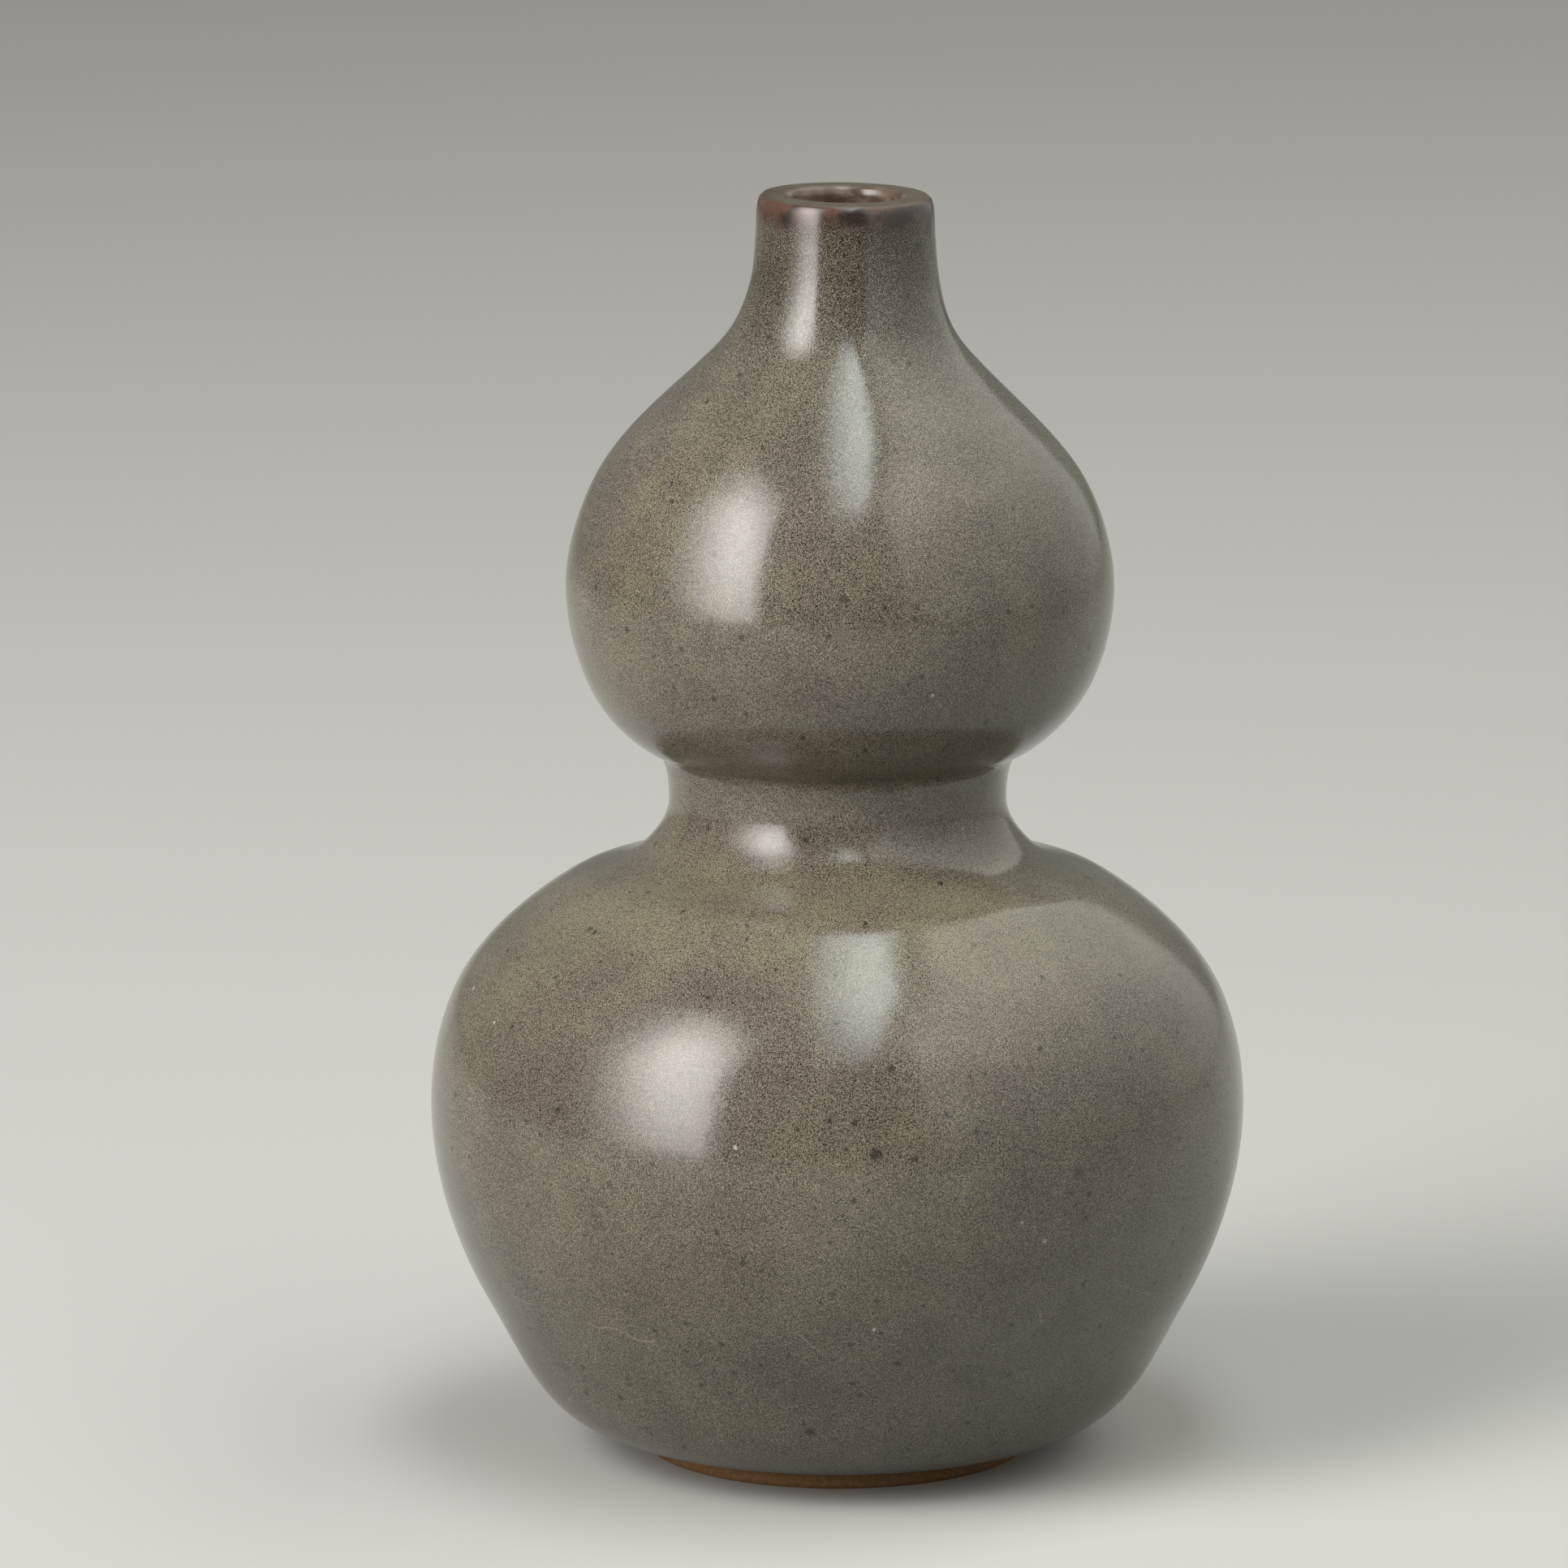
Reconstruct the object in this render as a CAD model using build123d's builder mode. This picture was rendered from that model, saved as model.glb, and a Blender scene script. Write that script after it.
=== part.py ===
"""Double-gourd stoneware vase: thrown sections luted with slip, on a turned foot, glazed outside and in.

Millimetres, +Z up, origin at the middle of the foot's underside.
Every section is drawn in the XZ plane, as radius and height, and turned about Z.
"""

import os
from math import cos, radians, sin
from typing import NamedTuple

from build123d import *

# Slope of a profile where it passes a widest or a narrowest ring, in degrees from level
UPRIGHT = 90.0

# Whole vase
HEIGHT = 220.0

# Turned foot
FOOT_DIAMETER = 68.2
FOOT_WIDTH = 5.6
FOOT_BEVEL = 0.6

# Underside, from the foot up: each ring's rise above the one below, its radius and its slope
HEM_RISE = 3.4
HEM_LEDGE = 1.5
HEM_SLOPE = 8.0
HEEL_RISE = 4.4
HEEL_SPREAD = 14.3
HEEL_SLOPE = 37.5
FLANK_RISE = 19.0
FLANK_DRAW = 9.75
FLANK_SLOPE = 60.5

# Neck and flat lip, from the lip down: each ring's drop below the one above, its radius and its slope
MOUTH_BORE = 20.0
MOUTH_ROUND = 0.8
LIP_DRAW = 0.75
LIP_ROUND = 0.45
COVE_DROP = 2.6
COVE_DRAW = 0.55
COVE_SLOPE = 93.5
NECK_DROP = 8.9
NECK_DIAMETER = 31.5
NECK_SLOPE = 96.0
THROAT_DROP = 10.4
THROAT_SPREAD = 2.7
THROAT_SLOPE = 115.0

# Upper bulb
OGEE_DROP = 9.5
OGEE_SPREAD = 10.65
OGEE_SLOPE = 135.5
DOME_DROP = 18.9
DOME_DRAW = 4.55
DOME_SLOPE = 116.5
UPPER_BELLY_DROP = 17.7
UPPER_BELLY_DIAMETER = 94.5
CUP_DROP = 21.6
CUP_SPREAD = 11.25
CUP_SLOPE = 53.0

# Waist collar, from the crease where the upper bulb sits on it
CREASE_DROP = 8.5
CREASE_SPREAD = 1.3
CREASE_SLOPE_ABOVE = 27.0
CREASE_SLOPE_BELOW = 68.0
WAIST_DROP = 7.8
WAIST_DIAMETER = 58.4
COLLAR_DROP = 7.9
COLLAR_SPREAD = 4.15
COLLAR_SLOPE = 133.5

# Lower bulb
SHOULDER_DROP = 6.0
SHOULDER_SPREAD = 17.75
SHOULDER_SLOPE = 149.0
BROW_DROP = 17.4
BROW_DRAW = 5.2
BROW_SLOPE = 120.3
BELLY_DROP = 21.95
BELLY_DIAMETER = 141.4

# Layers, from the outside in
GLAZE = 0.8
LIP_GLAZE = 0.4
CREASE_POOL = 1.6
CLAY_WALL = 4.4
FLOOR_THICKNESS = 6.0
LINER = 0.4
BASE_GLAZE = 0.6
LIP_RETURN = 4.0

# Luted joints: thickness of the slip and bevel of the joint faces
SLIP = 0.8
FOOT_SLIP = 0.4
SEAM_BEVEL = 35.0
SEAM_REACH = 3.0 * CLAY_WALL


class Ring(NamedTuple):
    """A ring that a profile passes through, and the profile's slope there, in degrees from level."""

    radius: float
    height: float
    slope: float = UPRIGHT

    def above(self, rise, radius, slope=UPRIGHT):
        """The next ring up."""
        return Ring(radius, self.height + rise, slope)

    def below(self, drop, radius, slope=UPRIGHT):
        """The next ring down."""
        return self.above(-drop, radius, slope)

    def inset(self, depth):
        """The matching ring of a layer that lies deeper, measured square to the profile."""
        turn = radians(self.slope)
        return Ring(self.radius - depth * sin(turn), self.height + depth * cos(turn), self.slope)


def profile(rings):
    """One smooth curve through the rings, at the slope of each."""
    points = [(ring.radius, ring.height) for ring in rings]
    slopes = [(cos(radians(ring.slope)), sin(radians(ring.slope))) for ring in rings]
    return Spline(*points, tangents=slopes)


def deeper(rings, depth):
    return [ring.inset(depth) for ring in rings]


# Rings of the glazed outside: the underside from the hem of the glaze up, the rest from the lip down
foot_radius = FOOT_DIAMETER / 2
belly_radius = BELLY_DIAMETER / 2
waist_radius = WAIST_DIAMETER / 2
upper_radius = UPPER_BELLY_DIAMETER / 2
neck_radius = NECK_DIAMETER / 2
hem = Ring(foot_radius + HEM_LEDGE, HEM_RISE, HEM_SLOPE)
heel = hem.above(HEEL_RISE, foot_radius + HEEL_SPREAD, HEEL_SLOPE)
flank = heel.above(FLANK_RISE, belly_radius - FLANK_DRAW, FLANK_SLOPE)
cove = Ring(neck_radius - COVE_DRAW, HEIGHT - COVE_DROP, COVE_SLOPE)
neck = cove.below(NECK_DROP, neck_radius, NECK_SLOPE)
throat = neck.below(THROAT_DROP, neck_radius + THROAT_SPREAD, THROAT_SLOPE)
ogee = throat.below(OGEE_DROP, neck_radius + OGEE_SPREAD, OGEE_SLOPE)
dome = ogee.below(DOME_DROP, upper_radius - DOME_DRAW, DOME_SLOPE)
upper_belly = dome.below(UPPER_BELLY_DROP, upper_radius)
cup = upper_belly.below(CUP_DROP, waist_radius + CUP_SPREAD, CUP_SLOPE)
crease_above = cup.below(CREASE_DROP, waist_radius + CREASE_SPREAD, CREASE_SLOPE_ABOVE)
crease_below = crease_above._replace(slope=CREASE_SLOPE_BELOW)
waist = crease_below.below(WAIST_DROP, waist_radius)
collar = waist.below(COLLAR_DROP, waist_radius + COLLAR_SPREAD, COLLAR_SLOPE)
shoulder_ring = collar.below(SHOULDER_DROP, waist_radius + SHOULDER_SPREAD, SHOULDER_SLOPE)
brow = shoulder_ring.below(BROW_DROP, belly_radius - BROW_DRAW, BROW_SLOPE)
belly = brow.below(BELLY_DROP, belly_radius)

lower_rings = [hem, heel, flank, belly, brow, shoulder_ring, collar, waist, crease_below]
upper_rings = [crease_above, cup, upper_belly, dome, ogee, throat, neck]

# The hollow follows the wall, apart from a thick heel, a rounded crease and a straight bore in the neck
hollow_rings = [flank, belly, brow, shoulder_ring, collar, waist, cup, upper_belly, dome, ogee, throat]
base = hem.inset(GLAZE).height
floor = base + FLOOR_THICKNESS
bore_radius = MOUTH_BORE / 2

# Corners of the lip in the glaze and in the clay, and where the outer coat stops in the bore
lip_edge = (cove.radius - LIP_DRAW, HEIGHT)
mouth_edge = (bore_radius, HEIGHT)
clay_lip = (lip_edge[0] - LIP_GLAZE, HEIGHT - LIP_GLAZE)
clay_mouth = (bore_radius + LINER, HEIGHT - LIP_GLAZE)
coat_end = (bore_radius, HEIGHT - LIP_RETURN)
clay_end = (bore_radius + LINER, HEIGHT - LIP_RETURN)


def hollow_profile(liner):
    """The wall of the hollow, from the middle of the floor to the foot of the bore, under so much liner."""
    middle = Ring(0, floor + liner, 0)
    bore = Ring(bore_radius + LINER - liner, neck.height)
    return profile([middle] + deeper(hollow_rings, GLAZE + CLAY_WALL + liner) + [bore])


def clay_profile():
    """The outside of the clay under the glaze, from its hem, which is returned, to its lip."""
    lower = profile(deeper(lower_rings, GLAZE))
    upper = profile(deeper(upper_rings, GLAZE) + [cove.inset(LIP_GLAZE)])
    Line(lower @ 1, upper @ 0)
    TangentArc(upper @ 1, clay_lip, tangent=upper % 1)
    return lower @ 0


def seam_middle(ring):
    """Middle of the bevelled joint that comes out at a ring."""
    clay = ring.radius - GLAZE
    run = CLAY_WALL / 2
    return clay - run * cos(radians(SEAM_BEVEL)), ring.height + run * sin(radians(SEAM_BEVEL))


# Clay wall as one section, before it is parted at the joints
with BuildSketch(Plane.XZ) as wall:
    with BuildLine():
        clay_hem = clay_profile()
        hollow = hollow_profile(0)
        Polyline(clay_lip, clay_mouth, hollow @ 1)
        Polyline(hollow @ 0, (0, base), clay_hem)
    make_face()

with BuildSketch(Plane.XZ) as seams:
    for joint in (belly, crease_below, upper_belly):
        with Locations(seam_middle(joint)):
            Rectangle(SEAM_REACH, SLIP, rotation=-SEAM_BEVEL)

with BuildSketch(Plane.XZ) as clay_sections:
    add(wall.sketch_local)
    add(seams.sketch_local, mode=Mode.SUBTRACT)

with BuildSketch(Plane.XZ) as slip_sections:
    add(wall.sketch_local)
    add(seams.sketch_local, mode=Mode.INTERSECT)

os.makedirs("parts", exist_ok=True)

# Thrown sections and the slip between them, from the bottom up
CLAY_NAMES = ("lower_bowl", "shoulder", "upper_bowl", "upper_dome")
SLIP_NAMES = ("belly_slip", "crease_slip", "upper_belly_slip")
sections = list(zip(CLAY_NAMES, clay_sections.sketch.faces().sort_by(Axis.Z)))
sections += zip(SLIP_NAMES, slip_sections.sketch.faces().sort_by(Axis.Z))
for name, section in sections:
    with BuildPart() as piece:
        add(section)
        revolve(axis=Axis.Z)
    piece.part.label = name
    export_step(piece.part, f"parts/{name}.step")

# Foot ring, bevelled on both edges that meet the table
foot_top = base - FOOT_SLIP
foot_bore = foot_radius - FOOT_WIDTH
with BuildPart() as foot_ring:
    with BuildSketch(Plane.XZ) as foot_section:
        with Locations((foot_bore, 0)):
            Rectangle(FOOT_WIDTH, foot_top, align=Align.MIN)
        chamfer(foot_section.vertices().group_by(Axis.Y)[0], FOOT_BEVEL)
    revolve(axis=Axis.Z)
foot_ring.part.label = "foot_ring"
export_step(foot_ring.part, "parts/foot_ring.step")

with BuildPart() as foot_slip:
    with BuildSketch(Plane.XY.offset(foot_top)):
        Circle(foot_radius)
        Circle(foot_bore, mode=Mode.SUBTRACT)
    extrude(amount=FOOT_SLIP)
foot_slip.part.label = "foot_slip"
export_step(foot_slip.part, "parts/foot_slip.step")

with BuildPart() as base_glaze:
    with BuildSketch(Plane.XY.offset(base)):
        Circle(foot_bore)
    extrude(amount=-BASE_GLAZE)
base_glaze.part.label = "base_glaze"
export_step(base_glaze.part, "parts/base_glaze.step")

# Outer coat: pooled in the crease, thin at the lip, turned a little way down into the bore
with BuildPart() as outer_glaze:
    with BuildSketch(Plane.XZ) as coat:
        with BuildLine():
            face_low = profile(lower_rings)
            face_high = profile(upper_rings + [cove])
            TangentArc(face_high @ 1, lip_edge, tangent=face_high % 1)
            Polyline(lip_edge, mouth_edge, coat_end, clay_end, clay_mouth, clay_lip)
            clay_hem = clay_profile()
            Line(clay_hem, face_low @ 0)
        make_face()
        fillet(coat.vertices().sort_by_distance((crease_below.radius, crease_below.height))[0], CREASE_POOL)
        fillet(coat.vertices().sort_by_distance(lip_edge)[0], LIP_ROUND)
        fillet(coat.vertices().sort_by_distance(mouth_edge)[0], MOUTH_ROUND)
    revolve(axis=Axis.Z)
outer_glaze.part.label = "outer_glaze"
export_step(outer_glaze.part, "parts/outer_glaze.step")

# Liner of the hollow, up to the outer coat
with BuildPart() as inner_glaze:
    with BuildSketch(Plane.XZ):
        with BuildLine():
            back = hollow_profile(0)
            face = hollow_profile(LINER)
            Polyline(back @ 1, clay_end, coat_end, face @ 1)
            Line(back @ 0, face @ 0)
        make_face()
    revolve(axis=Axis.Z)
inner_glaze.part.label = "inner_glaze"
export_step(inner_glaze.part, "parts/inner_glaze.step")
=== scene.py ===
from math import cos, pi, radians, sin

import bmesh
import bpy
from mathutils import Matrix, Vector


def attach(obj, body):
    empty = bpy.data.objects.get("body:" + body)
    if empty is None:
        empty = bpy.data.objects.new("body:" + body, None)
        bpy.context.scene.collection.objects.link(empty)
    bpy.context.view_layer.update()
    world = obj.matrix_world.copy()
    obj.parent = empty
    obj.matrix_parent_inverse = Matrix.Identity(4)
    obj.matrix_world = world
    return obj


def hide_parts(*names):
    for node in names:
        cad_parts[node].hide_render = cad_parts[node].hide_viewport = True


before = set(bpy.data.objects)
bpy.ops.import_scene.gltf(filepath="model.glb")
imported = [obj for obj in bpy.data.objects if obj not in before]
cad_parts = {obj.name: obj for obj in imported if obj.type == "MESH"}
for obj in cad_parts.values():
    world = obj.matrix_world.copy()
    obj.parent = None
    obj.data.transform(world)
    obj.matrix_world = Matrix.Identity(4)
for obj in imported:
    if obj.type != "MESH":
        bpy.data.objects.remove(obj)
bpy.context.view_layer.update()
MM = 0.001

# Camera: pitch and distance come from the ellipses of the mouth and foot in the picture
IMAGE_SIDE = 1932
FOCAL_PIXELS = 12350.0
SENSOR_WIDTH_MM = 36.0
CAMERA_PITCH = radians(11.5)
CAMERA_DISTANCE = 1.735
CAMERA_REACH = 50.0
AIM_HEIGHT = 117 * MM
AIM_OFFSET = -9.3 * MM

# Hand of the potter: a leaning neck, a dipped rim, a collar higher in front and a wavering wall
NECK_LEAN = 1.25 * MM
BULB_LEAN = 0.35 * MM
RIM_DIP = -0.0155
COLLAR_RISE = 0.6 * MM
COLLAR_TILT = 0.04
WALL_WAVER = 0.22 * MM
WHEEL_MARK = 0.025 * MM
WAVERS_PER_METRE = 26.0
MARKS_PER_METRE = 190.0

# Heights between which each of these begins or ends
NECK_BEGINS = (183 * MM, 209 * MM)
BULB_BEGINS, BULB_ENDS = (122 * MM, 140 * MM), (165 * MM, 182 * MM)
RIM_BEGINS = (205 * MM, 220 * MM)
COLLAR_BEGINS, COLLAR_ENDS = (94 * MM, 106 * MM), (115 * MM, 137 * MM)
WAVER_BEGINS = (0.0, 20 * MM)

# Rings around and rows along the section of a thrown piece
FINE_ROUND, FINE_ROW = 192, 1.1 * MM
PLAIN_ROUND, PLAIN_ROW = 96, 3.0 * MM
LINER_ROW, FOOT_ROW, SLIP_ROW = 1.5 * MM, 0.5 * MM, 1.0 * MM
CORNER_TURN = radians(40)


def srgb(red, green, blue):
    """A colour seen as 0 to 255 levels, as the linear colour that a shader takes."""
    def linear(level):
        share = level / 255
        return share / 12.92 if share <= 0.04045 else ((share + 0.055) / 1.055) ** 2.4
    return (linear(red), linear(green), linear(blue), 1.0)


def round_the_vase(azimuth, distance, height):
    """A place around the vase: azimuth in degrees from the camera side, to the right."""
    return Vector((distance * sin(radians(azimuth)), -distance * cos(radians(azimuth)), height))


# Node trees

class Flow:
    """A socket in a node tree, with arithmetic that adds Math nodes."""

    def __init__(self, tree, socket):
        self.tree = tree
        self.socket = socket

    def maths(self, operation, *values):
        return self.tree.add("ShaderNodeMath", {"operation": operation}, *values).out()

    def __add__(self, other):
        return self.maths("ADD", self, other)

    def __sub__(self, other):
        return self.maths("SUBTRACT", self, other)

    def __rsub__(self, other):
        return self.maths("SUBTRACT", other, self)

    def __mul__(self, other):
        return self.maths("MULTIPLY", self, other)

    def __truediv__(self, other):
        return self.maths("DIVIDE", self, other)

    def __rtruediv__(self, other):
        return self.maths("DIVIDE", other, self)

    __radd__ = __add__
    __rmul__ = __mul__

    def remainder(self, divisor):
        return self.maths("MODULO", self, divisor)

    def power(self, exponent):
        return self.maths("POWER", self, exponent)

    def larger(self, other):
        return self.maths("MAXIMUM", self, other)

    def swing(self):
        """Noise of 0 to 1 as a swing about nothing."""
        return self - 0.5

    def ramp(self, low, high, start=0.0, end=1.0):
        """Eases from start to end as the value goes from low to high."""
        settings = {"interpolation_type": "SMOOTHSTEP", "clamp": True}
        return self.tree.add("ShaderNodeMapRange", settings, self, low, high, start, end).out()

    def fall(self, low, high, start=1.0):
        """Eases from start to nothing as the value goes from low to high."""
        return self.ramp(low, high, start, 0.0)


class Step:
    """A node that has been added to a tree."""

    def __init__(self, tree, node):
        self.tree = tree
        self.node = node

    def out(self, name=0):
        return Flow(self.tree, self.node.outputs[name])


class Tree:
    """A node tree that is filled one node at a time."""

    def __init__(self, nodes, links):
        self.nodes = nodes
        self.links = links

    def add(self, kind, settings, *values, **named):
        """Adds a node: its settings first, then values or links for its sockets, in order or by name."""
        node = self.nodes.new(kind)
        for key, value in settings.items():
            setattr(node, key, value)
        for socket, value in zip([socket for socket in node.inputs if socket.enabled], values):
            self.feed(socket, value)
        for name, value in named.items():
            self.feed(node.inputs[name], value)
        return Step(self, node)

    def feed(self, socket, value):
        if isinstance(value, Flow):
            self.links.new(value.socket, socket)
        else:
            socket.default_value = value


class Finish(Tree):
    """A procedural material on Object coordinates, in metres."""

    def __init__(self, name):
        self.material = bpy.data.materials.new(name)
        self.material.use_nodes = True
        tree = self.material.node_tree
        super().__init__(tree.nodes, tree.links)
        self.shader = self.nodes["Principled BSDF"]
        self.place = self.add("ShaderNodeTexCoord", {}).out("Object")
        along = self.add("ShaderNodeSeparateXYZ", {}, self.place)
        self.x, self.y, self.z = along.out("X"), along.out("Y"), along.out("Z")

    def noise(self, size, detail=2.0, roughness=0.5):
        """Soft noise, 0 to 1, with patches about this size."""
        return self.add("ShaderNodeTexNoise", {}, self.place, Scale=1 / size, Detail=detail,
                        Roughness=roughness).out("Fac")

    def wander(self, size, reach, detail):
        """The place, pushed about by noise with patches about this size."""
        push = self.add("ShaderNodeTexNoise", {}, self.place, Scale=1 / size, Detail=detail).out("Color")
        push = self.add("ShaderNodeVectorMath", {"operation": "SCALE"}, push, Scale=reach).out()
        return self.add("ShaderNodeVectorMath", {"operation": "ADD"}, self.place, push).out()

    def cells(self, size, place, feature="F1"):
        """Cells about this size: a distance in cells, and a colour by chance for each."""
        return self.add("ShaderNodeTexVoronoi", {"feature": feature}, place, Scale=1 / size)

    def mix(self, share, first, second):
        """A colour between two, which a Mix node gives at its output 2."""
        return self.add("ShaderNodeMix", {"data_type": "RGBA"}, share, first, second).out(2)

    def relief(self, height, depth):
        """A bump of this depth for a height of 0 to 1."""
        normal = self.add("ShaderNodeBump", {}, Strength=1.0, Distance=depth, Height=height).out("Normal")
        self.feed(self.shader.inputs["Normal"], normal)

    def colour(self, value):
        self.feed(self.shader.inputs["Base Color"], value)

    def gloss(self, roughness, ior=1.5):
        self.feed(self.shader.inputs["Roughness"], roughness)
        self.feed(self.shader.inputs["IOR"], ior)


# Finishes

GLAZE_IOR = 1.6
GLAZE_RIPPLE, RIPPLE_DEPTH = 4 * MM, 0.03 * MM
GLAZE_DIMPLE, DIMPLE_SHARE, GRAIN_SHARE = 1.3 * MM, 0.1, 0.05
GLAZE_ROUGH = (0.13, 0.2)
RIM_ROUGHER, LIP_ROUGHER = 0.25, 0.04

# Flecks: fine grains, larger blooms of them and slow drifts over the wall
FLECK_SIZE, BLOOM_SIZE, DRIFT_SIZE = 0.17 * MM, 11 * MM, 70 * MM
FLECK_CONTRAST = 4.4
GRAIN_SPAN = (0.3, 0.7)
FLECK_DARK = srgb(42, 37, 30)
FLECK_BROWN = srgb(38, 28, 22)
FLECK_OLIVE = srgb(154, 148, 124)
FLECK_MAUVE = srgb(152, 142, 127)
FLECK_GREY = srgb(150, 144, 125)
NECK_THINS = (182 * MM, 217 * MM)
NECK_GREYS = (166 * MM, 196 * MM)
LEDGE_BEGINS, LEDGE_ENDS = (88 * MM, 100 * MM), (104 * MM, 114 * MM)
# Painted shade: fewer pale flecks below these heights darken the lower flank
FLANK_ENDS = (60 * MM, 92 * MM)
LOW_WALL_ENDS = (30 * MM, 80 * MM)

# Share of the ground that flecks cover, and what adds to it or takes from it
FLECK_COVER = 0.415
COVER_BY_BLOOM, COVER_BY_DRIFT, COVER_ON_LEDGE = 0.45, 0.3, 0.17
BARER_NECK, FLANK_PAINTED_SHADE = 0.3, 0.05

# Share of olive among the flecks
OLIVE_BY_DRIFT, OLIVE_BY_BLOOM, OLIVE_ON_LEDGE, OLIVE_LOW = 0.6, 0.4, 0.12, 0.1
MAUVE_TO_OLIVE = (0.38, 0.62)

# Lip and mouth: dry at the edge, reddened at one side, with a flat rim and a tan throat
PATCH_SIZE = 4 * MM
LIP_DRIES, LIP_DRYNESS = (214.2 * MM, 218.6 * MM), 0.92
RAGGED_BY_PATCH, RAGGED_BY_GRAIN = 6 * MM, 3 * MM
LIP_RED_SIDE, REDDER = (-13 * MM, -4 * MM), 0.2
RED_TO_BLACK = (0.35, 0.55)
RIM_LAND = (219.4 * MM, 219.9 * MM)
# Painted shade: the rim's land is darker on its left side
RIM_SHADED_SIDE, RIM_DARKER = (-15 * MM, -7 * MM), 0.5
RIM_TOP_SHARE, RIM_GRAIN = 0.2, 2.0
MOUTH_BEGINS, MOUTH_RADIUS = (200 * MM, 210 * MM), (10.1 * MM, 10.9 * MM)
# Painted light: the throat is lighter on its left side
THROAT_LIT_SIDE, THROAT_PAINTED_LIGHT = (-8 * MM, 2 * MM), 0.4
RUST_TO_TAN, MOUTH_GRAIN = (0.35, 0.65), 1.2
LIP_RED = srgb(91, 64, 53)
LIP_BLACK = srgb(38, 27, 21)
LIP_TOP = srgb(99, 91, 73)
LIP_SHADE = srgb(54, 42, 36)
MOUTH_TAN = srgb(130, 114, 98)
MOUTH_RUST = srgb(80, 62, 50)

# Spots of iron through the glaze: degrees from the camera side, height in mm, size and strength
IRON_SPOTS = ((-37, 191, 0.4, 0.8), (1, 158, 0.7, 0.8), (5, 68, 1.0, 0.8), (35, 62, 1.1, 0.6),
              (-68, 91, 0.5, 0.7), (-33, 60, 0.5, 0.6), (-5, 16, 0.8, 0.9), (9, 30, 0.6, 0.8),
              (-18, 33, 0.5, 0.7), (-20, 46, 0.5, 0.6), (-1, 131, 0.6, 0.6), (6, 134, 0.5, 0.8),
              (35, 135, 0.5, 0.9), (45, 143, 0.8, 0.7), (-65, 151, 0.5, 0.7), (47, 46, 0.5, 0.7),
              (-38, 141, 0.5, 0.6), (112, 75, 0.8, 0.8), (160, 40, 0.7, 0.7), (-120, 150, 0.6, 0.7),
              (-150, 86, 0.9, 0.7), (85, 160, 0.5, 0.8))
SPOT_CORE, SPOT_EDGE = 0.35 * MM, 1.7 * MM
SPOT_STRAY = 0.9 * MM
IRON_DARK = srgb(34, 30, 26)

# Iron pepper and freckles, more of them low on the wall, and rare pinholes; spreads are in cells
PEPPER_SIZE, PEPPER_SPREAD, PEPPER_STRENGTH = 2.5 * MM, (0.06, 0.2), 0.8
PEPPER_CHANCE, PEPPER_LOW, PEPPER_MORE = (0.86, 0.88), (30 * MM, 70 * MM), 0.06
FRECKLE_SIZE, FRECKLE_SPREAD, FRECKLE_STRENGTH = 5 * MM, (0.05, 0.16), 0.75
FRECKLE_CHANCE, FRECKLE_LOW, FRECKLE_MORE = (0.55, 0.57), (45 * MM, 80 * MM), 0.25
PIN_CHANCE, PIN_PALE = (0.994, 0.995), srgb(206, 198, 184)

# Hairlines low on the wall, along the edges of cells; their width is in cells
HAIRLINE_APART, HAIRLINE_WIDTH, HAIRLINE_STRENGTH = 48 * MM, 0.0045, 0.5
HAIRLINE_LOW = (45 * MM, 70 * MM)
HAIRLINE_BEND, HAIRLINE_REACH = 30 * MM, 25 * MM
HAIRLINE_BREAKS, HAIRLINE_KEPT = 16 * MM, (0.5, 0.58)
HAIRLINE_PALE = srgb(166, 157, 138)

# Liner, clay and slip
LINER_BROWN, LINER_TAN = srgb(128, 106, 90), srgb(162, 142, 124)
LINER_ROUGH, LINER_RIPPLE = 0.15, 3 * MM
CLAY_BROWN, CLAY_TAN = srgb(120, 87, 52), srgb(137, 101, 62)
CLAY_ROUGH, CLAY_GRIT, GRIT_SPAN = 0.85, 0.7 * MM, (0.35, 0.7)
CLAY_PORE, PORE_DEPTH = 0.5 * MM, 0.08 * MM
SLIP_BROWN, SLIP_TAN = srgb(140, 104, 70), srgb(170, 134, 96)
SLIP_ROUGH, SLIP_CLOUD, SLIP_LUMP, LUMP_DEPTH = 0.9, 1.2 * MM, 0.8 * MM, 0.05 * MM


def fleck_ground(glaze, level, grain):
    """Pale flecks on brown: fewer on the thin neck, fewer low on the flank as painted shade, more and more
    olive on the ledge of the shoulder.
    """
    drift = glaze.noise(DRIFT_SIZE, 3)
    bloom = glaze.noise(BLOOM_SIZE, 3)
    thin = level.ramp(*NECK_THINS)
    ledge = level.ramp(*LEDGE_BEGINS) * level.fall(*LEDGE_ENDS)
    cover = bloom.swing() * COVER_BY_BLOOM + drift.swing() * COVER_BY_DRIFT - thin * BARER_NECK + FLECK_COVER
    cover = cover + ledge * COVER_ON_LEDGE - level.fall(*FLANK_ENDS, FLANK_PAINTED_SHADE)
    olive = drift * OLIVE_BY_DRIFT + bloom * OLIVE_BY_BLOOM + ledge * OLIVE_ON_LEDGE
    olive = olive + level.fall(*LOW_WALL_ENDS, OLIVE_LOW)
    light = glaze.mix(olive.ramp(*MAUVE_TO_OLIVE), FLECK_MAUVE, FLECK_OLIVE)
    light = glaze.mix(level.ramp(*NECK_GREYS), light, FLECK_GREY)
    dark = glaze.mix(thin, FLECK_DARK, FLECK_BROWN)
    return glaze.mix(grain.swing() * FLECK_CONTRAST + cover, dark, light)


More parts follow.
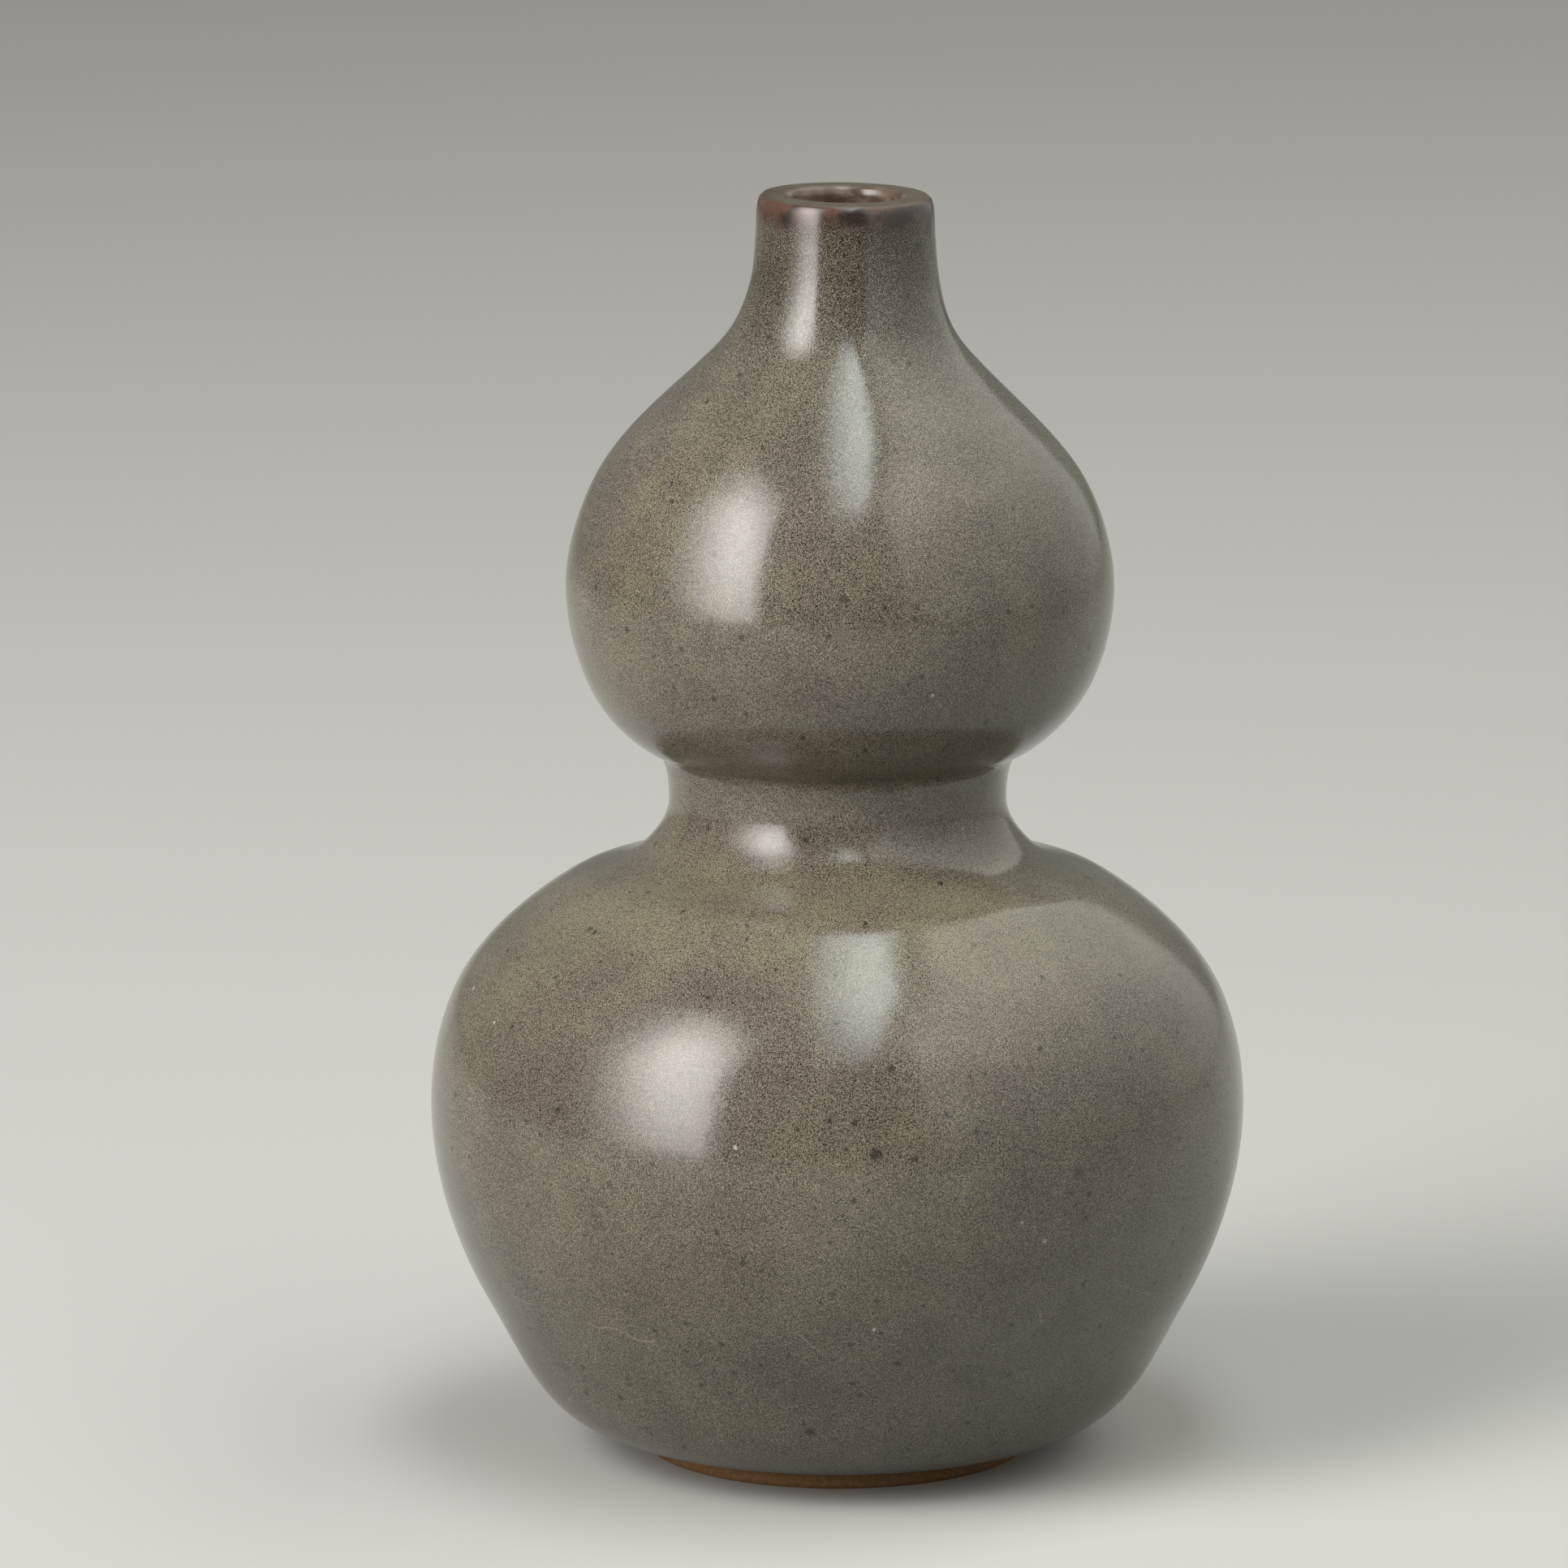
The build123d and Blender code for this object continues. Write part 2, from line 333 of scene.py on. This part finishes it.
def lip_and_mouth(glaze, level, grain, ground):
    """The ground with the lip, its rim and the throat, and how dry and how much of a rim each place is."""
    patch = glaze.noise(PATCH_SIZE, 3)
    red = glaze.x.fall(*LIP_RED_SIDE, REDDER)
    lip = glaze.mix((patch - red).ramp(*RED_TO_BLACK), LIP_RED, LIP_BLACK)
    ragged = patch.swing() * RAGGED_BY_PATCH + grain.swing() * RAGGED_BY_GRAIN
    dry = (level + ragged).ramp(*LIP_DRIES)
    ground = glaze.mix(dry * LIP_DRYNESS, ground, lip)

    rim = level.ramp(*RIM_LAND)
    # Painted shade on the left of the rim's land, over its random tone from grain and patches
    rim_tone_and_shade = grain.swing() * RIM_GRAIN + patch + RIM_TOP_SHARE - glaze.x.fall(*RIM_SHADED_SIDE, RIM_DARKER)
    ground = glaze.mix(rim, ground, glaze.mix(rim_tone_and_shade, LIP_SHADE, LIP_TOP))

    radius = ((glaze.x - NECK_LEAN).power(2) + glaze.y.power(2)).power(0.5)
    # Painted light: more tan on the left of the throat, on top of its random tan patches
    tan_and_light = patch.ramp(*RUST_TO_TAN) + glaze.x.fall(*THROAT_LIT_SIDE, THROAT_PAINTED_LIGHT)
    throat = glaze.mix(grain.swing() * MOUTH_GRAIN + tan_and_light, MOUTH_RUST, MOUTH_TAN)
    ground = glaze.mix(radius.fall(*MOUTH_RADIUS) * level.ramp(*MOUTH_BEGINS), ground, throat)
    return ground, dry, rim


def iron_and_pins(glaze, face, ground):
    """The ground with iron spots at chosen places, and pepper, freckles and pinholes by chance."""
    stray = glaze.wander(SPOT_STRAY, SPOT_STRAY, 1.0)
    middle = Vector((SPOT_STRAY, SPOT_STRAY, SPOT_STRAY)) / 2
    pepper = glaze.cells(PEPPER_SIZE, stray)
    chance = glaze.add("ShaderNodeSeparateColor", {}, pepper.out("Color"))
    near = pepper.out("Distance").fall(*PEPPER_SPREAD, PEPPER_STRENGTH)
    common = chance.out("Red") + glaze.z.fall(*PEPPER_LOW, PEPPER_MORE)
    iron = near * common.ramp(*PEPPER_CHANCE)

    freckle = glaze.cells(FRECKLE_SIZE, stray)
    rare = glaze.add("ShaderNodeSeparateColor", {}, freckle.out("Color")).out("Red")
    rare = (rare + glaze.z.fall(*FRECKLE_LOW, FRECKLE_MORE)).ramp(*FRECKLE_CHANCE)
    iron = iron.larger(freckle.out("Distance").fall(*FRECKLE_SPREAD, FRECKLE_STRENGTH) * rare)

    for turn, height, size, strength in IRON_SPOTS:
        spot = face(turn, height) + middle
        away = glaze.add("ShaderNodeVectorMath", {"operation": "DISTANCE"}, stray, spot).out("Value")
        iron = iron.larger(away.fall(SPOT_CORE * size, SPOT_EDGE * size, strength))
    ground = glaze.mix(iron, ground, IRON_DARK)
    return glaze.mix(near * chance.out("Green").ramp(*PIN_CHANCE), ground, PIN_PALE)


def hairlines(glaze, ground):
    """The ground with a few broken pale lines low on the wall."""
    bent = glaze.wander(HAIRLINE_BEND, HAIRLINE_REACH, 2.0)
    away = glaze.cells(HAIRLINE_APART, bent, "DISTANCE_TO_EDGE").out("Distance")
    line = away.fall(0.0, HAIRLINE_WIDTH, HAIRLINE_STRENGTH) * glaze.z.fall(*HAIRLINE_LOW)
    line = line * glaze.noise(HAIRLINE_BREAKS).ramp(*HAIRLINE_KEPT)
    return glaze.mix(line, ground, HAIRLINE_PALE)


def speckled_glaze(face):
    """Outer glaze: oatmeal flecks over brown, with a brown lip, iron spots and a few hairlines."""
    glaze = Finish("stony_speckled_glaze")
    level = glaze.z - glaze.x * RIM_DIP
    grain = glaze.noise(FLECK_SIZE, 1, 0.6)
    ground = fleck_ground(glaze, level, grain)
    ground, dry, rim = lip_and_mouth(glaze, level, grain, ground)
    ground = iron_and_pins(glaze, face, ground)
    glaze.colour(hairlines(glaze, ground))
    glaze.gloss(rim * RIM_ROUGHER + dry * LIP_ROUGHER + grain.ramp(*GRAIN_SPAN, *GLAZE_ROUGH), GLAZE_IOR)
    ripple = glaze.noise(GLAZE_RIPPLE) + glaze.noise(GLAZE_DIMPLE, 1) * DIMPLE_SHARE + grain * GRAIN_SHARE
    glaze.relief(ripple, RIPPLE_DEPTH)
    return glaze.material


def liner_glaze():
    glaze = Finish("brown_liner_glaze")
    fleck = glaze.noise(FLECK_SIZE, 1).ramp(*GRAIN_SPAN)
    glaze.colour(glaze.mix(fleck, LINER_BROWN, LINER_TAN))
    glaze.gloss(LINER_ROUGH, GLAZE_IOR)
    glaze.relief(glaze.noise(LINER_RIPPLE), RIPPLE_DEPTH)
    return glaze.material


def bare_stoneware():
    clay = Finish("bare_stoneware")
    grit = clay.noise(CLAY_GRIT).ramp(*GRIT_SPAN)
    clay.colour(clay.mix(grit, CLAY_BROWN, CLAY_TAN))
    clay.gloss(CLAY_ROUGH)
    clay.relief(clay.noise(CLAY_PORE, 3), PORE_DEPTH)
    return clay.material


def joint_slip():
    slip = Finish("joint_slip")
    slip.colour(slip.mix(slip.noise(SLIP_CLOUD), SLIP_BROWN, SLIP_TAN))
    slip.gloss(SLIP_ROUGH)
    slip.relief(slip.noise(SLIP_LUMP), LUMP_DEPTH)
    return slip.material


# Thrown pieces

ON_AXIS, NEAR_AXIS = 1e-6, 1 * MM
SAME_PLACE = 1e-7
CURVE_STEPS = 12

# How near in height, and how deep behind the outermost, a row of the outer face is looked for
FACE_BAND, FACE_DEPTH = 5 * MM, 6 * MM


def section_outline(node):
    """The section of a turned CAD node, in order: radius and height of each point, and whether it closes."""
    mesh = bmesh.new()
    mesh.from_mesh(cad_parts[node].data)
    bmesh.ops.remove_doubles(mesh, verts=mesh.verts, dist=SAME_PLACE)
    cut = {vert for vert in mesh.verts if abs(vert.co.y) < SAME_PLACE and vert.co.x > -SAME_PLACE / 100}
    beside = {vert: [edge.other_vert(vert) for edge in vert.link_edges] for vert in cut}
    beside = {vert: [other for other in others if other in cut] for vert, others in beside.items()}
    ends = [vert for vert in cut if len(beside[vert]) == 1]
    start = min(ends or cut, key=lambda vert: (vert.co.z, vert.co.x))
    path = [start]
    while True:
        onward = [vert for vert in beside[path[-1]] if vert not in path[-2:] and vert is not start]
        if not onward:
            break
        path.append(onward[0])
    points = [Vector((vert.co.x, 0, vert.co.z)) for vert in path]
    mesh.free()
    if ends:
        first, last = (Vector((0, 0, point.z)) for point in (points[0], points[-1]))
        points = [first] * (points[0].x > ON_AXIS) + points + [last] * (points[-1].x > ON_AXIS)
    area = sum(a.x * b.z - b.x * a.z for a, b in zip(points, points[1:] + points[:1]))
    return (points if area > 0 else points[::-1]), not ends


def outer_face():
    """A function for the place on the glaze's outside at a turn from the camera side and a height in mm."""
    rows = sorted((point.z, point.x) for point in section_outline("outer_glaze")[0])

    def face(turn, height):
        radius = max(x for z, x in rows if abs(z - height * MM) < FACE_BAND)
        near = [(z, x) for z, x in rows if x > radius - FACE_DEPTH]
        below = max((row for row in near if row[0] <= height * MM), default=near[0])
        above = min((row for row in near if row[0] > height * MM), default=near[-1])
        share = (height * MM - below[0]) / max(above[0] - below[0], SAME_PLACE)
        return round_the_vase(turn, below[1] + share * (above[1] - below[1]), height * MM)
    return face


def section_curve(name, node):
    """A curve object along a section, smooth apart from its real corners."""
    points, closed = section_outline(node)
    curve = bpy.data.curves.new(name, "CURVE")
    curve.dimensions = "3D"
    curve.resolution_u = CURVE_STEPS
    spline = curve.splines.new("BEZIER")
    spline.bezier_points.add(len(points) - 1)
    spline.use_cyclic_u = closed
    for index, (knot, point) in enumerate(zip(spline.bezier_points, points)):
        before, after = points[index - 1], points[(index + 1) % len(points)]
        at_end = not closed and index in (0, len(points) - 1)
        turns = at_end or (point - before).angle(after - point) > CORNER_TURN
        knot.co = point
        knot.handle_left_type = knot.handle_right_type = "VECTOR" if turns else "AUTO"
    piece = bpy.data.objects.new(name, curve)
    bpy.context.scene.collection.objects.link(piece)
    return piece


class Wheel(Tree):
    """Geometry nodes that turn a section about Z and give it the waver of a thrown pot."""

    SIZES = {"Section": ("NodeSocketObject", None), "Finish": ("NodeSocketMaterial", None),
             "Rounds": ("NodeSocketInt", FINE_ROUND), "Row": ("NodeSocketFloat", FINE_ROW),
             "Neck Lean": ("NodeSocketFloat", NECK_LEAN), "Bulb Lean": ("NodeSocketFloat", BULB_LEAN),
             "Rim Dip": ("NodeSocketFloat", RIM_DIP), "Waver": ("NodeSocketFloat", WALL_WAVER),
             "Collar Rise": ("NodeSocketFloat", COLLAR_RISE), "Collar Tilt": ("NodeSocketFloat", COLLAR_TILT),
             "Wheel Mark": ("NodeSocketFloat", WHEEL_MARK)}

    def __init__(self):
        self.group = bpy.data.node_groups.new("thrown_on_the_wheel", "GeometryNodeTree")
        super().__init__(self.group.nodes, self.group.links)
        self.group.interface.new_socket("Pot", in_out="OUTPUT", socket_type="NodeSocketGeometry")
        self.keys = {}
        for name, (kind, value) in self.SIZES.items():
            socket = self.group.interface.new_socket(name, in_out="INPUT", socket_type=kind)
            self.keys[name] = socket.identifier
            if value is not None:
                socket.default_value = value
        self.build()

    def build(self):
        sizes = self.add("NodeGroupInput", {})
        sheet, radius, height, angle = self.turned_sheet(sizes)
        x = radius * angle.maths("COSINE", angle)
        y = radius * angle.maths("SINE", angle)
        place = self.thrown_place(sizes, x, y, height, radius)
        pot = self.add("GeometryNodeSetPosition", {}, Geometry=sheet, Position=place).out()
        pot = self.add("GeometryNodeMergeByDistance", {}, Geometry=pot, Distance=ON_AXIS).out()
        pot = self.add("GeometryNodeSetShadeSmooth", {}, Geometry=pot).out()
        pot = self.add("GeometryNodeRealizeInstances", {}, Geometry=pot).out()
        pot = self.add("GeometryNodeSetMaterial", {}, Geometry=pot, Material=sizes.out("Finish")).out()
        self.add("NodeGroupOutput", {}, Pot=pot)

    def turned_sheet(self, sizes):
        """A sheet with a row for each knot of the section and a column for each turn, and where they go."""
        line = self.add("GeometryNodeObjectInfo", {}, sizes.out("Section")).out("Geometry")
        section = self.add("GeometryNodeResampleCurve", {"mode": "LENGTH"}, Curve=line,
                           Length=sizes.out("Row")).out()
        counts = self.add("GeometryNodeAttributeDomainSize", {"component": "CURVE"}, section)
        knots = counts.out("Point Count")
        closed = self.add("GeometryNodeSampleIndex", {"data_type": "BOOLEAN", "domain": "CURVE"}, section,
                          self.add("GeometryNodeInputSplineCyclic", {}).out(), 0).out()
        rows = knots + closed
        sheet = self.add("GeometryNodeMeshGrid", {}, 1.0, 1.0, sizes.out("Rounds") + 1, rows).out("Mesh")
        index = self.add("GeometryNodeInputIndex", {}).out()
        column = index.maths("FLOOR", index / rows)
        knot = self.add("GeometryNodeSampleIndex", {"data_type": "FLOAT_VECTOR"}, section,
                        self.add("GeometryNodeInputPosition", {}).out(),
                        index.remainder(rows).remainder(knots)).out()
        along = self.add("ShaderNodeSeparateXYZ", {}, knot)
        return sheet, along.out("X"), along.out("Z"), column / sizes.out("Rounds") * (2 * pi)

    def thrown_place(self, sizes, x, y, height, radius):
        """A true place on the turned section, moved as the potter's hand left it."""
        place = self.add("ShaderNodeCombineXYZ", {}, x, y, height).out()
        swell = self.add("ShaderNodeTexNoise", {}, place, Scale=WAVERS_PER_METRE, Detail=1.0).out("Fac")
        mark = self.add("ShaderNodeTexNoise", {"noise_dimensions": "1D"}, W=height, Scale=MARKS_PER_METRE,
                        Detail=1.0).out("Fac")
        growth = swell.swing() * 2 * sizes.out("Waver") + mark.swing() * 2 * sizes.out("Wheel Mark")
        growth = growth * height.ramp(*WAVER_BEGINS) / radius.larger(NEAR_AXIS) + 1
        bulb = height.ramp(*BULB_BEGINS) * height.fall(*BULB_ENDS)
        lean = height.ramp(*NECK_BEGINS) * sizes.out("Neck Lean") + bulb * sizes.out("Bulb Lean")
        collar = height.ramp(*COLLAR_BEGINS) * height.fall(*COLLAR_ENDS)
        lift = x * sizes.out("Rim Dip") * height.ramp(*RIM_BEGINS)
        lift = lift + collar * (sizes.out("Collar Rise") - y * sizes.out("Collar Tilt"))
        return self.add("ShaderNodeCombineXYZ", {}, x * growth + lean, y * growth, height + lift).out()

    def throw(self, node, finish, slot, rounds=PLAIN_ROUND, row=PLAIN_ROW):
        """Turns a CAD node's section into a piece that stands for the node."""
        section = section_curve(node + "_section", node)
        blank = bpy.data.objects.new(node + "_blank", bpy.data.meshes.new(node + "_blank"))
        bpy.context.scene.collection.objects.link(blank)
        turning = blank.modifiers.new("wheel", "NODES")
        turning.node_group = self.group
        turning[self.keys["Section"]] = section
        turning[self.keys["Rounds"]] = rounds
        turning[self.keys["Row"]] = row
        turning[self.keys["Finish"]] = finish
        bpy.context.view_layer.update()
        graph = bpy.context.evaluated_depsgraph_get()
        mesh = bpy.data.meshes.new_from_object(blank.evaluated_get(graph))
        for used in (blank, section):
            bpy.data.objects.remove(used)
        mesh.materials.clear()
        mesh.materials.append(finish)
        face_outwards(mesh)
        piece = bpy.data.objects.new(node + "_thrown", mesh)
        bpy.context.scene.collection.objects.link(piece)
        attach(piece, "root")
        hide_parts(node)


def face_outwards(mesh):
    """Turns every face outwards, and keeps the corners of clay and slip sharp."""
    shell = bmesh.new()
    shell.from_mesh(mesh)
    bmesh.ops.dissolve_degenerate(shell, edges=shell.edges, dist=SAME_PLACE)
    bmesh.ops.recalc_face_normals(shell, faces=shell.faces)
    shell.to_mesh(mesh)
    shell.free()
    if not mesh.materials[0].name.endswith("glaze"):
        mesh.set_sharp_from_angle(angle=CORNER_TURN)


def build_vase():
    wheel = Wheel()
    glaze, liner, clay, slip = speckled_glaze(outer_face()), liner_glaze(), bare_stoneware(), joint_slip()
    wheel.throw("outer_glaze", glaze, "speckled_glaze", FINE_ROUND, FINE_ROW)
    wheel.throw("inner_glaze", liner, "liner_glaze", PLAIN_ROUND, LINER_ROW)
    wheel.throw("base_glaze", glaze, "speckled_glaze")
    wheel.throw("foot_ring", clay, "stoneware", FINE_ROUND, FOOT_ROW)
    for node in ("lower_bowl", "shoulder", "upper_bowl", "upper_dome"):
        wheel.throw(node, clay, "stoneware")
    for node in ("foot_slip", "belly_slip", "crease_slip", "upper_belly_slip"):
        wheel.throw(node, slip, "slip", PLAIN_ROUND, SLIP_ROW)


# Studio

FLOOR_SIDE = 14.0
FLOOR_PALE = srgb(206, 205, 202)
FLOOR_BOUNCE = srgb(88, 87, 85)
FLOOR_ROUGH = 0.9
BACKDROP_LEVEL = 0.2
WORLD_LEVEL = 0.1
SHEET_TINT = (1.0, 0.985, 0.91)
WINDOW_TINT = (1.0, 0.97, 0.94)
STRIP_TINT = (0.93, 1.0, 0.98)


def seen_or_mirrored(tree):
    """One for a ray from the camera or from a gloss, none for a ray that only carries light about."""
    path = tree.add("ShaderNodeLightPath", {})
    seen = path.out("Is Camera Ray").larger(path.out("Is Glossy Ray"))
    return seen.larger(path.out("Is Transmission Ray"))


def lay_floor():
    mesh = bpy.data.meshes.new("floor")
    half = FLOOR_SIDE / 2
    corners = [(-half, -half, 0), (half, -half, 0), (half, half, 0), (-half, half, 0)]
    mesh.from_pydata(corners, [], [(0, 1, 2, 3)])
    floor = bpy.data.objects.new("floor", mesh)
    bpy.context.scene.collection.objects.link(floor)
    paper = Finish("pale_paper")
    paper.colour(paper.mix(seen_or_mirrored(paper), FLOOR_BOUNCE, FLOOR_PALE))
    paper.gloss(FLOOR_ROUGH)
    mesh.materials.append(paper.material)


def hang_panel(name, middle, towards, width, height, radiance, tint):
    """A soft panel of light: a flat rectangle, upright or facing down."""
    light = bpy.data.lights.new(name, "AREA")
    light.shape = "RECTANGLE"
    light.size, light.size_y = width, height
    light.energy = radiance * pi * width * height
    light.color = tint
    panel = bpy.data.objects.new(name, light)
    panel.location = middle
    panel.rotation_euler = (Vector(towards) - Vector(middle)).to_track_quat("-Z", "Y").to_euler()
    panel.visible_camera = False
    bpy.context.scene.collection.objects.link(panel)
    return panel


def fade_panel(panel, across, along, reach_across, reach_along, slant=0.0):
    """Makes a panel brightest at one place and lets it fade away from there, along a slant."""
    light = panel.data
    light.use_nodes = True
    cloth = Tree(light.node_tree.nodes, light.node_tree.links)
    weave = cloth.add("ShaderNodeSeparateXYZ", {}, cloth.add("ShaderNodeNewGeometry", {}).out("Parametric"))
    rise = weave.out("Y") - along
    aside = weave.out("X") - across - rise * slant
    spread = (aside / reach_across).power(2) + (rise / reach_along).power(2)
    level = spread.maths("EXPONENT", spread * -1)
    cloth.feed(light.node_tree.nodes["Emission"].inputs["Strength"], level)


def light_studio():
    sheet = hang_panel("right_sheet", middle=(1.5, -0.2, 2.5), towards=(0, -0.2, 2.5), width=5.6, height=5.0,
                       radiance=1.5, tint=SHEET_TINT)
    fade_panel(sheet, across=0.5, along=0.7, reach_across=3.0, reach_along=0.6)
    middle = round_the_vase(-65, 1.62, 1.52)
    window = hang_panel("left_window", middle, towards=middle - round_the_vase(-56, 1.6, 0), width=1.7,
                        height=3.0, radiance=9.5, tint=WINDOW_TINT)
    fade_panel(window, across=0.74, along=0.4, reach_across=0.34, reach_along=0.48, slant=-0.35)
    strip = hang_panel("overhead_strip", middle=(0.09, -0.9, 1.8), towards=(0.09, -0.9, 0), width=0.5,
                       height=2.4, radiance=6.2, tint=STRIP_TINT)
    fade_panel(strip, across=0.9, along=0.74, reach_across=0.75, reach_along=0.45)
    world = bpy.data.worlds.new("studio")
    world.use_nodes = True
    sky = Tree(world.node_tree.nodes, world.node_tree.links)
    cloud = world.node_tree.nodes["Background"]
    sky.feed(cloud.inputs["Color"], (1, 1, 1, 1))
    sky.feed(cloud.inputs["Strength"], seen_or_mirrored(sky) * (BACKDROP_LEVEL - WORLD_LEVEL) + WORLD_LEVEL)
    bpy.context.scene.world = world


def set_camera():
    lens = bpy.data.cameras.new("camera")
    lens.sensor_width = SENSOR_WIDTH_MM
    lens.lens = FOCAL_PIXELS / IMAGE_SIDE * SENSOR_WIDTH_MM
    lens.clip_end = CAMERA_REACH
    camera = bpy.data.objects.new("camera", lens)
    back, rise = CAMERA_DISTANCE * cos(CAMERA_PITCH), CAMERA_DISTANCE * sin(CAMERA_PITCH)
    camera.location = (AIM_OFFSET, -back, AIM_HEIGHT + rise)
    camera.rotation_euler = (pi / 2 - CAMERA_PITCH, 0, 0)
    bpy.context.scene.collection.objects.link(camera)
    bpy.context.scene.camera = camera


build_vase()
lay_floor()
light_studio()
set_camera()
bpy.context.scene.view_settings.view_transform = "Standard"
